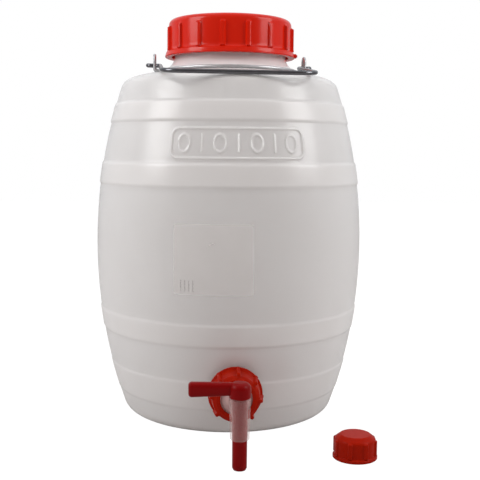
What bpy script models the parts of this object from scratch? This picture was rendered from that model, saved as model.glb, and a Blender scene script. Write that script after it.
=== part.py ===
"""Plastic fermenting barrel: blow-moulded body, ribbed screw lid, wire bail handle and a red outlet tap.

Metres, +Z up. The origin is the centre of the flat base, on the floor, and the tap faces -Y.
"""

import math

import bmesh
import bpy
from mathutils import Matrix, Vector

# Barrel: the side is one circular arc, and the four hoops stand proud of it.
BARREL_RADIUS = 0.160
BELLY_HEIGHT = 0.204
SIDE_ARC = 0.595
WALL = 0.0026
BASE_RADIUS = 0.105
BASE_CORNER = 0.012
HOOPS = ((0.030, 0.067), (0.104, 0.133), (0.276, 0.305), (0.347, 0.373))
HOOP_PROUD = 0.0015
HOOP_SLOPE = 0.0025
SIDE_STEP = 0.026
TURN_STEPS = 56

# Shoulder and neck.
SIDE_TOP = 0.391
SHOULDER_RADIUS = 0.106
SHOULDER_HEIGHT = 0.4045
NECK_FOOT_RADIUS = 0.0762
NECK_FOOT_HEIGHT = 0.4092
NECK_RADIUS = 0.0666
NECK_CONE_TOP = 0.427
NECK_WALL = 0.0031
LIP_HEIGHT = 0.4642

# Lid, with its lead of thread and the seal that lies in it.
LID_RADIUS = 0.0735
LID_TOP = 0.471
LID_BOTTOM = 0.427
LID_BORE = 0.0703
LID_PLATE = 0.0032
LID_RIM_RADIUS = 0.0780
LID_RIM_HEIGHT = 0.0070
LID_EDGE = 0.0055
LID_RIBS = 16
LID_RIB_PHASE = math.radians(12.9)
LID_RIB = (0.0062, 0.0768, 0.4325, 0.4615)  # width, outer radius, bottom, top
SEAL_THICK = 0.0030

# Touching pieces keep this gap.
GAP = 0.0003

# Wire collar and bail. Both are turned a little about the neck.
HANDLE_TURN = math.radians(2.5)
COLLAR_WIRE = 0.0018
COLLAR_RADIUS = 0.0795
COLLAR_HEIGHT = 0.4109
COLLAR_EAR_START = math.radians(13)
EAR_REACH = 0.0905
EAR_HALF_WIDTH = 0.0065
EAR_TOP = 0.4310
BAIL_WIRE = 0.0025
BAIL_PIVOT_HEIGHT = 0.4170
BAIL_REACH = 0.1272
BAIL_DROOP = math.radians(7.5)
BAIL_HALF_WIDTH = 0.0840
BAIL_CORNER = 0.021
BAIL_TAIL_REACH = 0.0985
BAIL_TAIL = 0.0065

# Outlet: everything here is turned about an axis along -Y at this height.
OUTLET_HEIGHT = 0.0565
SPOUT_START = 0.1360
SPOUT_END = 0.1660
SPOUT_RADIUS = 0.0190
SPOUT_BORE = 0.0150
GASKET_THICK = 0.0025
FLANGE_RADIUS = 0.0192
FLANGE_THICK = 0.0030
NUT_BACK = 0.1510
NUT_BORE = 0.0198
NUT_FACE_BORE = 0.0172
NUT_RADIUS = 0.0272
NUT_FRONT_RADIUS = 0.0250
NUT_RIM_RADIUS = 0.0296
NUT_FACE_THICK = 0.0030
NUT_RIBS = 8
NUT_RIB_PHASE = math.radians(-5.3)

# Tap: the sleeve and the plug turn about a vertical axis in front of the outlet.
TAP_REACH = 0.228
TAP_TUBE_RADIUS = 0.0086
TAP_TUBE_BORE = 0.0058
SLEEVE_BOTTOM = 0.0325
SLEEVE_TOP = 0.0745
SLEEVE_RADII = (0.0095, 0.0106)  # bottom, top
SLEEVE_BORE = 0.0080
PLUG_RADIUS = 0.0076
PLUG_BORE = 0.0050
NOZZLE_END = 0.0018
HUB_RADIUS = 0.0108
HUB_TOP = 0.0905
LEVER_LENGTH = 0.051
LEVER_HEIGHT = (0.0122, 0.0150)  # at the hub, at the tip
LEVER_WIDTH = (0.0095, 0.0110)
LEVER_CENTRE = 0.0838
PORT_RADIUS = 0.0050

# Spare screw cap for the outlet, standing beside the barrel.
CAP_PLACE = (0.123, -0.194, 0.0)
CAP_HEIGHT = 0.0250
CAP_RADIUS = 0.0214
CAP_RIM_RADIUS = 0.0232
CAP_BORE = 0.0196
CAP_LEDGE = 0.0188  # the seal lies under this
CAP_RIBS = 8
CAP_RIB_PHASE = math.radians(20)
CAP_SEAL_THICK = 0.0020

# Film label on the belly, as heights and half angle.
LABEL_HEIGHTS = (0.164, 0.240)
LABEL_HALF_ANGLE = math.radians(15.5)
LABEL_TURN = math.radians(-9.0)
LABEL_THICK = 0.0003


def clear_scene():
    for obj in list(bpy.data.objects):
        bpy.data.objects.remove(obj)


def new_collection(name):
    collection = bpy.data.collections.new(name)
    bpy.context.scene.collection.children.link(collection)
    return collection


def material(name, color, roughness, metallic=0.0):
    made = bpy.data.materials.new(name)
    made.use_nodes = True
    shader = made.node_tree.nodes["Principled BSDF"]
    shader.inputs["Base Color"].default_value = (*color, 1.0)
    shader.inputs["Roughness"].default_value = roughness
    shader.inputs["Metallic"].default_value = metallic
    made.diffuse_color = (*color, 1.0)
    return made


def add_object(name, data, collection, look=None):
    obj = bpy.data.objects.new(name, data)
    collection.objects.link(obj)
    if look:
        data.materials.append(look)
    return obj


def hide(cutter):
    cutter.hide_render = True
    cutter.display_type = "WIRE"


def bend(start, corner, end, steps):
    """Points of a smooth bend from start to end that leaves and arrives along the lines to corner."""
    points = []
    for step in range(steps + 1):
        t = step / steps
        weights = ((1 - t) ** 2, 2 * t * (1 - t), t * t)
        points.append(tuple(sum(w * p[i] for w, p in zip(weights, (start, corner, end))) for i in (0, 1)))
    return points


def turned(name, profile, collection, look=None, steps=TURN_STEPS, loop=False):
    """A solid of revolution about Z. The profile's (radius, height) points run down its outer side."""
    count = len(profile)
    edges = [(i, i + 1) for i in range(count - 1)] + ([(count - 1, 0)] if loop else [])
    mesh = bpy.data.meshes.new(name)
    mesh.from_pydata([(radius, 0, height) for radius, height in profile], edges, [])
    obj = add_object(name, mesh, collection, look)
    screw = obj.modifiers.new("Turn", "SCREW")
    screw.steps = screw.render_steps = steps
    screw.use_merge_vertices = True
    screw.merge_threshold = 0.00001
    screw.use_smooth_shade = True
    return obj


def boolean(obj, operand, operation):
    modifier = obj.modifiers.new(operand.name, "BOOLEAN")
    modifier.operation = operation
    modifier.object = operand
    modifier.solver = "EXACT"


def ribs(name, count, phase, size, centre, collection):
    """Straight ribs about Z as one helper mesh. size is (radial, tangential, axial), centre (radius, height)."""
    bm = bmesh.new()
    for index in range(count):
        made = bmesh.ops.create_cube(bm, size=1.0)["verts"]
        bmesh.ops.scale(bm, vec=size, verts=made)
        bmesh.ops.translate(bm, vec=(centre[0], 0, centre[1]), verts=made)
        turn = Matrix.Rotation(phase + index * math.tau / count, 3, "Z")
        bmesh.ops.rotate(bm, cent=(0, 0, 0), matrix=turn, verts=made)
    mesh = bpy.data.meshes.new(name)
    bm.to_mesh(mesh)
    bm.free()
    obj = add_object(name, mesh, collection)
    hide(obj)
    return obj


def rod(name, radius, start, end, collection, steps=32):
    """A plain cylinder along Z between two heights, used as a helper."""
    bm = bmesh.new()
    bmesh.ops.create_cone(bm, cap_ends=True, segments=steps, radius1=radius, radius2=radius, depth=end - start)
    bmesh.ops.translate(bm, vec=(0, 0, (start + end) / 2), verts=bm.verts)
    mesh = bpy.data.meshes.new(name)
    bm.to_mesh(mesh)
    bm.free()
    obj = add_object(name, mesh, collection)
    hide(obj)
    return obj


def face_outlet(obj):
    """Turns an object made along Z so that it points along -Y at the outlet's height."""
    obj.location = (0, 0, OUTLET_HEIGHT)
    obj.rotation_euler = (math.pi / 2, 0, 0)


def wire(name, points, radius, collection, look, closed=False):
    curve = bpy.data.curves.new(name, "CURVE")
    curve.dimensions = "3D"
    curve.bevel_depth = radius
    curve.bevel_resolution = 2
    curve.use_fill_caps = True
    spline = curve.splines.new("POLY")
    spline.points.add(len(points) - 1)
    for point, place in zip(spline.points, points):
        point.co = (*place, 1)
    spline.use_cyclic_u = closed
    return add_object(name, curve, collection, look)


def side_radius(height):
    return BARREL_RADIUS - SIDE_ARC + math.sqrt(SIDE_ARC**2 - (height - BELLY_HEIGHT) ** 2)


def spread(low, high, step):
    """Heights strictly between low and high, no further apart than step."""
    count = math.ceil((high - low) / step)
    return [low + (high - low) * i / count for i in range(1, count)]


def barrel_side():
    """The outer side from its top to the base corner, with the hoops."""
    points = [(side_radius(SIDE_TOP), SIDE_TOP)]
    above = SIDE_TOP
    for low, high in reversed(HOOPS):
        points += [(side_radius(z), z) for z in reversed(spread(high, above, SIDE_STEP))]
        points.append((side_radius(high), high))
        inner = (high - HOOP_SLOPE, low + HOOP_SLOPE)
        heights = [inner[0], *reversed(spread(inner[1], inner[0], SIDE_STEP)), inner[1]]
        points += [(side_radius(z) + HOOP_PROUD, z) for z in heights]
        points.append((side_radius(low), low))
        above = low
    points += [(side_radius(z), z) for z in reversed(spread(BASE_CORNER, above, SIDE_STEP))]
    return points


def corner_bend(radius, height, tip_slope, end_height, offset, steps=6):
    """The rounded corner between a flat and the side, from the flat outwards."""
    end = (side_radius(end_height) - offset, end_height)
    lean = (end_height - BELLY_HEIGHT) / math.sqrt(SIDE_ARC**2 - (end_height - BELLY_HEIGHT) ** 2)
    run = (end[0] - radius - lean * (height - end_height)) / (1 + lean * tip_slope)
    return bend((radius, height), (radius + run, height + tip_slope * run), end, steps)


def barrel_profile():
    slope = (SHOULDER_HEIGHT - NECK_FOOT_HEIGHT) / (SHOULDER_RADIUS - NECK_FOOT_RADIUS)
    inner_floor = corner_bend(BASE_RADIUS, WALL, 0, BASE_CORNER + WALL, WALL)
    inner_side = [(side_radius(z) - WALL, z) for z in spread(BASE_CORNER + WALL, SIDE_TOP - WALL, 2 * SIDE_STEP)]
    inner_top = corner_bend(SHOULDER_RADIUS, SHOULDER_HEIGHT - WALL, slope, SIDE_TOP - WALL, WALL)
    bore = NECK_RADIUS - NECK_WALL
    neck = [
        (NECK_FOOT_RADIUS - WALL, NECK_FOOT_HEIGHT - WALL),
        (bore, NECK_CONE_TOP - WALL),
        (bore, LIP_HEIGHT),
        (NECK_RADIUS, LIP_HEIGHT),
        (NECK_RADIUS, NECK_CONE_TOP),
        (NECK_FOOT_RADIUS, NECK_FOOT_HEIGHT + 0.0030),
        (NECK_FOOT_RADIUS + 0.0004, NECK_FOOT_HEIGHT),
    ]
    outer_top = corner_bend(SHOULDER_RADIUS, SHOULDER_HEIGHT, slope, SIDE_TOP, 0)
    outer_floor = corner_bend(BASE_RADIUS, 0, 0, BASE_CORNER, 0)
    return [
        (0, WALL),
        *inner_floor,
        *inner_side,
        *reversed(inner_top),
        *neck,
        *outer_top[:-1],
        *barrel_side(),
        *reversed(outer_floor),
        (0, 0),
    ]


def make_barrel(parts, cutters, look):
    shell = turned("barrel_shell", barrel_profile(), parts, look)
    spout = rod("spout_blank", SPOUT_RADIUS, SPOUT_START, SPOUT_END, cutters)
    bore = rod("spout_bore", SPOUT_BORE, SPOUT_START - 0.01, SPOUT_END + 0.01, cutters)
    for helper, operation in ((spout, "UNION"), (bore, "DIFFERENCE")):
        face_outlet(helper)
        boolean(shell, helper, operation)


def make_lid(parts, cutters, look, seal_look):
    rim_top = LID_BOTTOM + LID_RIM_HEIGHT
    edge = bend((LID_RADIUS - LID_EDGE, LID_TOP), (LID_RADIUS, LID_TOP), (LID_RADIUS, LID_TOP - LID_EDGE), 4)
    profile = [
        (0, LID_TOP),
        *edge,
        (LID_RADIUS, rim_top),
        (LID_RIM_RADIUS - 0.0012, rim_top - 0.0012),
        (LID_RIM_RADIUS, LID_BOTTOM + 0.0012),
        (LID_RIM_RADIUS - 0.0008, LID_BOTTOM),
        (LID_BORE, LID_BOTTOM),
        (LID_BORE, LID_TOP - LID_PLATE),
        (0, LID_TOP - LID_PLATE),
    ]
    lid = turned("screw_lid", profile, parts, look, steps=64)
    width, reach, low, high = LID_RIB
    size = (reach - LID_BORE - 0.001, width, high - low)
    boolean(lid, ribs("lid_ribs", LID_RIBS, LID_RIB_PHASE, size, (reach - size[0] / 2, (low + high) / 2), cutters), "UNION")

    bottom = LIP_HEIGHT + GAP
    outer = NECK_RADIUS + 0.0024
    ring = [
        (outer, bottom + SEAL_THICK),
        (outer, bottom),
        (NECK_RADIUS - NECK_WALL - 0.001, bottom),
        (NECK_RADIUS - NECK_WALL - 0.001, bottom + SEAL_THICK),
    ]
    turned("lid_seal", ring, parts, seal_look, loop=True)


def make_collar(parts, look):
    """A ring round the neck whose wire turns out and up into an ear at each side."""
    points = []
    leave = COLLAR_EAR_START
    ring = (COLLAR_RADIUS * math.cos(leave), -COLLAR_RADIUS * math.sin(leave))
    foot = (EAR_REACH, -EAR_HALF_WIDTH)
    knee = (ring[0] + math.tan(leave) * (foot[1] - ring[1]), foot[1])
    arch = EAR_TOP - COLLAR_WIRE - EAR_HALF_WIDTH
    rise = [(*place, COLLAR_HEIGHT) for place in bend(ring, knee, (foot[0] - 0.003, foot[1]), 4)]
    rise += [(foot[0] - 0.0009, foot[1], COLLAR_HEIGHT + 0.0009), (*foot, COLLAR_HEIGHT + 0.003)]
    over = []
    for step in range(9):
        angle = math.pi * step / 8
        over.append((EAR_REACH, -EAR_HALF_WIDTH * math.cos(angle), arch + EAR_HALF_WIDTH * math.sin(angle)))
    ear = rise + over + [(x, -y, z) for x, y, z in reversed(rise)]
    for side in (0, math.pi):
        turn = Matrix.Rotation(side, 3, "Z")
        points += [tuple(turn @ Vector(place)) for place in ear]
        for step in range(1, 18):
            angle = side + leave + (math.pi - 2 * leave) * step / 18
            points.append((COLLAR_RADIUS * math.cos(angle), COLLAR_RADIUS * math.sin(angle), COLLAR_HEIGHT))
    collar = wire("carry_collar", points, COLLAR_WIRE, parts, look, closed=True)
    collar.rotation_euler = (0, 0, HANDLE_TURN)


def make_bail(parts, look, pivot):
    """The handle's wire from the middle of its front bar to one tail, mirrored to the other side."""
    half = []
    straight = BAIL_HALF_WIDTH - BAIL_CORNER
    for x in (0, straight / 2):
        half.append((x, -BAIL_REACH, 0))
    for step in range(7):
        angle = -math.pi / 2 + math.pi / 2 * step / 6
        half.append((straight + BAIL_CORNER * math.cos(angle), -BAIL_REACH + BAIL_CORNER * (1 + math.sin(angle)), 0))
    knee = 0.006
    half.append((BAIL_HALF_WIDTH, -BAIL_REACH / 2, 0))
    for step in range(5):
        angle = math.pi - math.pi / 2 * step / 4
        half.append((BAIL_HALF_WIDTH + knee * (1 + math.cos(angle)), -knee * (1 - math.sin(angle)), 0))
    for step in range(1, 5):
        angle = -math.pi / 2 + math.pi / 2 * step / 4
        bent = 0.005
        half.append((BAIL_TAIL_REACH - bent + bent * math.cos(angle), bent * (1 + math.sin(angle)), 0))
    half.append((BAIL_TAIL_REACH, BAIL_TAIL, 0))
    points = [(-x, y, z) for x, y, z in reversed(half[1:])] + half
    bail = wire("bail_handle", points, BAIL_WIRE, parts, look)
    bail.parent = pivot
    bail.rotation_euler = (BAIL_DROOP, 0, 0)


def make_outlet(parts, cutters, red, clear, rubber):
    gasket_back = SPOUT_END + GAP
    flange_back = gasket_back + GASKET_THICK + GAP
    flange_front = flange_back + FLANGE_THICK
    nut_inner = flange_front + GAP
    nut_front = nut_inner + NUT_FACE_THICK

    ring = [
        (FLANGE_RADIUS, gasket_back + GASKET_THICK),
        (FLANGE_RADIUS, gasket_back),
        (SPOUT_BORE - 0.001, gasket_back),
        (SPOUT_BORE - 0.001, gasket_back + GASKET_THICK),
    ]
    face_outlet(turned("tap_gasket", ring, parts, rubber, steps=32, loop=True))

    nut_profile = [
        (NUT_FACE_BORE, nut_front),
        (NUT_FRONT_RADIUS - 0.003, nut_front),
        (NUT_FRONT_RADIUS, nut_front - 0.003),
        (NUT_RADIUS, NUT_BACK + 0.0045),
        (NUT_RIM_RADIUS, NUT_BACK + 0.0030),
        (NUT_RIM_RADIUS, NUT_BACK),
        (NUT_BORE, NUT_BACK),
        (NUT_BORE, nut_inner),
        (NUT_FACE_BORE, nut_inner),
    ]
    nut = turned("union_nut", nut_profile, parts, red, steps=48, loop=True)
    rib_size = (0.0070, 0.0042, nut_front - NUT_BACK - 0.0045)
    rib_centre = (NUT_RIM_RADIUS + 0.0002 - rib_size[0] / 2, NUT_BACK + rib_size[2] / 2)
    nut_ribs = ribs("nut_ribs", NUT_RIBS, NUT_RIB_PHASE, rib_size, rib_centre, cutters)
    face_outlet(nut)
    face_outlet(nut_ribs)
    boolean(nut, nut_ribs, "UNION")

    # Tap body: flange, level tube and upright sleeve in one moulding.
    tube_end = TAP_REACH - 0.004
    flange = [
        (0, tube_end),
        (TAP_TUBE_RADIUS, tube_end),
        (TAP_TUBE_RADIUS, flange_front + 0.006),
        (0.0150, flange_front + 0.0015),
        (0.0150, flange_front),
        (FLANGE_RADIUS, flange_front),
        (FLANGE_RADIUS, flange_back),
        (0, flange_back),
    ]
    body = turned("tap_body", flange, parts, clear, steps=32)
    face_outlet(body)
    sleeve = turned(
        "sleeve_blank",
        [(0, SLEEVE_TOP), (SLEEVE_RADII[1], SLEEVE_TOP), (SLEEVE_RADII[0], SLEEVE_BOTTOM), (0, SLEEVE_BOTTOM)],
        cutters,
        steps=32,
    )
    hide(sleeve)
    bore = rod("sleeve_bore", SLEEVE_BORE, SLEEVE_BOTTOM - 0.01, SLEEVE_TOP + 0.01, cutters)
    for upright in (sleeve, bore):
        upright.location = (0, -TAP_REACH, 0)
        upright.rotation_euler = (0, 0, math.pi / 50)
    channel = rod("tap_channel", TAP_TUBE_BORE, flange_back - 0.01, TAP_REACH - 0.001, cutters, steps=24)
    face_outlet(channel)
    boolean(bore, channel, "UNION")
    boolean(body, sleeve, "UNION")
    boolean(body, bore, "DIFFERENCE")


def make_plug(parts, cutters, look, pivot):
    """Lever, tapered plug and hollow nozzle in one moulding, with a port in its side."""
    seat = SLEEVE_TOP + GAP
    profile = [
        (0, HUB_TOP),
        *bend((HUB_RADIUS - 0.005, HUB_TOP), (HUB_RADIUS, HUB_TOP), (HUB_RADIUS, HUB_TOP - 0.006), 3),
        (HUB_RADIUS, seat + 0.001),
        (HUB_RADIUS - 0.001, seat),
        (PLUG_RADIUS, seat),
        (PLUG_RADIUS - 0.0002, NOZZLE_END + 0.0025),
        (PLUG_RADIUS - 0.0014, NOZZLE_END),
        (PLUG_BORE, NOZZLE_END),
        (PLUG_BORE, OUTLET_HEIGHT + 0.007),
        (0, OUTLET_HEIGHT + 0.007),
    ]
    plug = turned("tap_plug", profile, parts, look, steps=32)
    plug.parent = pivot

    bm = bmesh.new()
    bmesh.ops.create_cube(bm, size=1.0)
    for vert in bm.verts:
        at_tip = vert.co.x < 0
        height, width = LEVER_HEIGHT[at_tip], LEVER_WIDTH[at_tip]
        x = -LEVER_LENGTH if at_tip else 0.003
        vert.co = (x, vert.co.y * width, LEVER_CENTRE + vert.co.z * height)
    mesh = bpy.data.meshes.new("lever_blank")
    bm.to_mesh(mesh)
    bm.free()
    lever = add_object("lever_blank", mesh, cutters)
    rounding = lever.modifiers.new("Round", "BEVEL")
    rounding.width = 0.0035
    rounding.segments = 3
    hide(lever)
    lever.parent = pivot

    port = rod("plug_port", PORT_RADIUS, 0.0, 0.012, cutters, steps=20)
    port.location = (0, 0, OUTLET_HEIGHT)
    port.rotation_euler = (0, math.pi / 2, 0)
    port.parent = pivot
    boolean(plug, lever, "UNION")
    boolean(plug, port, "DIFFERENCE")


def make_spare_cap(parts, cutters, red, rubber):
    ledge = CAP_LEDGE
    profile = [
        (0, CAP_HEIGHT),
        (CAP_RADIUS - 0.0055, CAP_HEIGHT),
        (CAP_RADIUS - 0.0006, CAP_HEIGHT - 0.0045),
        (CAP_RADIUS, 0.0040),
        (CAP_RIM_RADIUS, 0.0030),
        (CAP_RIM_RADIUS, 0.0004),
        (CAP_RIM_RADIUS - 0.0004, 0),
        (CAP_BORE, 0),
        (CAP_BORE, ledge),
        (CAP_BORE - 0.0031, ledge),
        (CAP_BORE - 0.0046, CAP_HEIGHT - 0.0022),
        (0, CAP_HEIGHT - 0.0022),
    ]
    cap = turned("spare_cap", profile, parts, red, steps=40)
    rib_size = (0.0026, 0.0044, CAP_HEIGHT - 0.0070)
    rib_centre = (CAP_RIM_RADIUS - 0.0004 - rib_size[0] / 2, 0.0020 + rib_size[2] / 2)
    cap_ribs = ribs("cap_ribs", CAP_RIBS, CAP_RIB_PHASE, rib_size, rib_centre, cutters)
    seal_top = ledge - GAP
    seal_outer = CAP_BORE - 2 * GAP
    ring = [
        (seal_outer, seal_top),
        (seal_outer, seal_top - CAP_SEAL_THICK),
        (SPOUT_BORE - 0.001, seal_top - CAP_SEAL_THICK),
        (SPOUT_BORE - 0.001, seal_top),
    ]
    seal = turned("spare_cap_seal", ring, parts, rubber, steps=40, loop=True)
    for piece in (cap, cap_ribs, seal):
        piece.location = CAP_PLACE
    boolean(cap, cap_ribs, "UNION")


def make_label(parts, look):
    """A thin film that lies on the belly's curve."""
    low, high = LABEL_HEIGHTS
    profile = [(side_radius(z) + GAP, z) for z in (high, *reversed(spread(low, high, 0.015)), low)]
    mesh = bpy.data.meshes.new("label")
    mesh.from_pydata([(r, 0, z) for r, z in profile], [(i, i + 1) for i in range(len(profile) - 1)], [])
    label = add_object("label", mesh, parts, look)
    screw = label.modifiers.new("Turn", "SCREW")
    screw.angle = 2 * LABEL_HALF_ANGLE
    screw.steps = screw.render_steps = 8
    screw.use_merge_vertices = False
    film = label.modifiers.new("Film", "SOLIDIFY")
    film.thickness = LABEL_THICK
    film.offset = 1
    label.rotation_euler = (0, 0, -math.pi / 2 + LABEL_TURN - LABEL_HALF_ANGLE)


def empty(name, place, collection, turn=0.0):
    obj = add_object(name, None, collection)
    obj.location = place
    obj.rotation_euler = (0, 0, turn)
    return obj


def smooth_edges(parts):
    for obj in parts.objects:
        if obj.type == "MESH":
            obj.data.shade_smooth()


def main():
    clear_scene()
    parts = new_collection("fermenting_barrel")
    cutters = new_collection("cutters")
    milky = material("milky_polyethylene", (0.86, 0.85, 0.83), 0.35)
    red = material("red_polypropylene", (0.75, 0.03, 0.01), 0.30)
    frosted = material("natural_polypropylene", (0.80, 0.74, 0.72), 0.30)
    steel = material("galvanised_wire", (0.62, 0.63, 0.65), 0.28, 1.0)
    rubber = material("seal_rubber", (0.70, 0.68, 0.62), 0.60)
    film = material("label_film", (0.84, 0.83, 0.81), 0.25)

    bail_pivot = empty("bail_axis", (0, 0, BAIL_PIVOT_HEIGHT), parts, HANDLE_TURN)
    tap_pivot = empty("tap_axis", (0, -TAP_REACH, 0), parts)
    make_barrel(parts, cutters, milky)
    make_lid(parts, cutters, red, rubber)
    make_collar(parts, steel)
    make_bail(parts, steel, bail_pivot)
    make_outlet(parts, cutters, red, frosted, rubber)
    make_plug(parts, cutters, red, tap_pivot)
    make_spare_cap(parts, cutters, red, rubber)
    make_label(parts, film)
    smooth_edges(parts)


main()
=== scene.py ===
import math

import bmesh
import bpy
import numpy as np
from mathutils import Matrix, Vector


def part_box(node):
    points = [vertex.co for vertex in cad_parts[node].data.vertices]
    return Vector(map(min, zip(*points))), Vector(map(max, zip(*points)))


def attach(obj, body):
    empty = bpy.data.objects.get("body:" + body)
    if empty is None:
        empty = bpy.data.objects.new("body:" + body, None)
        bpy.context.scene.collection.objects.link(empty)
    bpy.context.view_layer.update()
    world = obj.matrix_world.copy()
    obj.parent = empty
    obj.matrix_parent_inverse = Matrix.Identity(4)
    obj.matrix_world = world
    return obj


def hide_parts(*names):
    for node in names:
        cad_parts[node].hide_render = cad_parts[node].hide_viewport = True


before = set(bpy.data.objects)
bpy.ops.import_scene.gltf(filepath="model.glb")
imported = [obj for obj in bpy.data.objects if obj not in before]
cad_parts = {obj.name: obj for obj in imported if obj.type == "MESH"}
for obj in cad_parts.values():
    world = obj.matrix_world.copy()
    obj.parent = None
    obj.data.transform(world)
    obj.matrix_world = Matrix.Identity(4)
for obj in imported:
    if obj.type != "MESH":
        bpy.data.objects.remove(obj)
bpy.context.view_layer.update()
print("frame loaded:", ", ".join(sorted(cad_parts)))

scene = bpy.context.scene
scene.view_settings.view_transform = "Standard"


# Node trees: sockets given as values are linked, numbers are set.
def addNode(tree, kind, values=None, **settings):
    node = tree.nodes.new(kind)
    for key, value in settings.items():
        setattr(node, key, value)
    for key, value in (values or {}).items():
        socket = node.inputs[key]
        if isinstance(value, bpy.types.NodeSocket):
            tree.links.new(value, socket)
        else:
            socket.default_value = value
    return node


def mathNode(tree, operation, *values):
    return addNode(tree, "ShaderNodeMath", dict(enumerate(values)), operation=operation).outputs[0]


def plus(tree, first, second):
    return mathNode(tree, "ADD", first, second)


def minus(tree, first, second):
    return mathNode(tree, "SUBTRACT", first, second)


def times(tree, first, second):
    return mathNode(tree, "MULTIPLY", first, second)


def smoothRange(tree, value, low, high):
    settings = {"Value": value, "From Min": low, "From Max": high}
    return addNode(tree, "ShaderNodeMapRange", settings, interpolation_type="SMOOTHSTEP").outputs["Result"]


def mixColor(tree, factor, first, second, blend="MIX"):
    node = addNode(tree, "ShaderNodeMix", data_type="RGBA", blend_type=blend)
    for index, value in ((0, factor), (6, first), (7, second)):
        if isinstance(value, bpy.types.NodeSocket):
            tree.links.new(value, node.inputs[index])
        else:
            node.inputs[index].default_value = value
    return node.outputs[2]


def smooth(value, low, high):
    t = np.clip((value - low) / (high - low), 0, 1)
    return t * t * (3 - 2 * t)


# Profiles are (radius, height) points that run along a turned piece's section.
def arcPoints(center, radius, start, end, count):
    turns = np.radians(np.linspace(start, end, count))
    return [(center[0] + radius * math.cos(t), center[1] + radius * math.sin(t)) for t in turns]


def bend(start, corner, end, count):
    ts = np.linspace(0, 1, count)
    a, b, c = (np.array(p) for p in (start, corner, end))
    return [tuple((1 - t) ** 2 * a + 2 * t * (1 - t) * b + t * t * c) for t in ts]


def filled(profile, step):
    # the same outline with more points, none further apart than step
    points = [profile[0]]
    for a, b in zip(profile, profile[1:]):
        count = max(1, math.ceil(math.dist(a, b) / step))
        points += [tuple(np.array(a) + (np.array(b) - a) * k / count) for k in range(1, count + 1)]
    return points


def meshFrom(name, verts, faces):
    mesh = bpy.data.meshes.new(name)
    mesh.from_pydata(verts, [], faces)
    bm = bmesh.new()
    bm.from_mesh(mesh)
    bmesh.ops.remove_doubles(bm, verts=bm.verts, dist=1e-6)
    if bm.calc_volume(signed=True) < 0:
        bmesh.ops.reverse_faces(bm, faces=bm.faces)
    bm.to_mesh(mesh)
    bm.free()
    return mesh


def turnedMesh(name, profile, turns, lift=None):
    # turns are the angles of the columns; lift(angle, height, radius) raises the surface
    radius, height = np.array(profile).T
    angle = np.asarray(turns)
    r = np.repeat(radius[:, None], len(angle), 1)
    z = np.repeat(height[:, None], len(angle), 1)
    a = np.repeat(angle[None, :], len(radius), 0)
    if lift:
        r = r + lift(a, z, r)
    verts = np.stack([r * np.cos(a), r * np.sin(a), z], 2).reshape(-1, 3).tolist()
    rows, columns = len(radius), len(angle)
    faces = []
    for i in range(rows - 1):
        for j in range(columns):
            k = (j + 1) % columns
            faces.append((i * columns + j, (i + 1) * columns + j, (i + 1) * columns + k, i * columns + k))
    return meshFrom(name, verts, faces)


def evenTurns(count):
    return np.linspace(0, math.tau, count, endpoint=False)


def newObject(name, mesh, material=None):
    obj = bpy.data.objects.new(name, mesh)
    scene.collection.objects.link(obj)
    if material and mesh.materials.find(material.name) < 0:
        mesh.materials.append(material)
    return obj


def settle(obj, place=None, sharp=35):
    # modifiers become plain mesh, the piece moves to its place, and edges over the sharp angle stay crisp
    bpy.context.view_layer.update()
    graph = bpy.context.evaluated_depsgraph_get()
    mesh = bpy.data.meshes.new_from_object(obj.evaluated_get(graph))
    obj.modifiers.clear()
    obj.data = mesh
    if place is not None:
        mesh.transform(place)
    mesh.shade_smooth()
    mesh.set_sharp_from_angle(angle=math.radians(sharp))
    return obj


def combine(obj, other, operation):
    # a Boolean with a helper that is removed afterwards
    cut = obj.modifiers.new(operation, "BOOLEAN")
    cut.operation = operation
    cut.object = other
    cut.solver = "EXACT"
    settle(obj)
    bpy.data.objects.remove(other)


def finishPiece(obj, body, slot, *nodes):
    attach(obj, body)
    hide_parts(*nodes)
    return obj


# The outlet's pieces are made along Z and turned to point to the front at the outlet's height.
outletHeight = (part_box("union_nut")[0].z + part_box("union_nut")[1].z) / 2
toOutlet = Matrix.Translation((0, 0, outletHeight)) @ Matrix.Rotation(math.pi / 2, 4, "X")


# Shader groups shared by the materials.
def groupTree(name, inputs, outputs):
    tree = bpy.data.node_groups.new(name, "ShaderNodeTree")
    for socketName, kind, value in inputs:
        socket = tree.interface.new_socket(socketName, in_out="INPUT", socket_type=kind)
        socket.default_value = value
    for socketName, kind in outputs:
        tree.interface.new_socket(socketName, in_out="OUTPUT", socket_type=kind)
    return tree, tree.nodes.new("NodeGroupInput").outputs, tree.nodes.new("NodeGroupOutput").inputs


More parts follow.
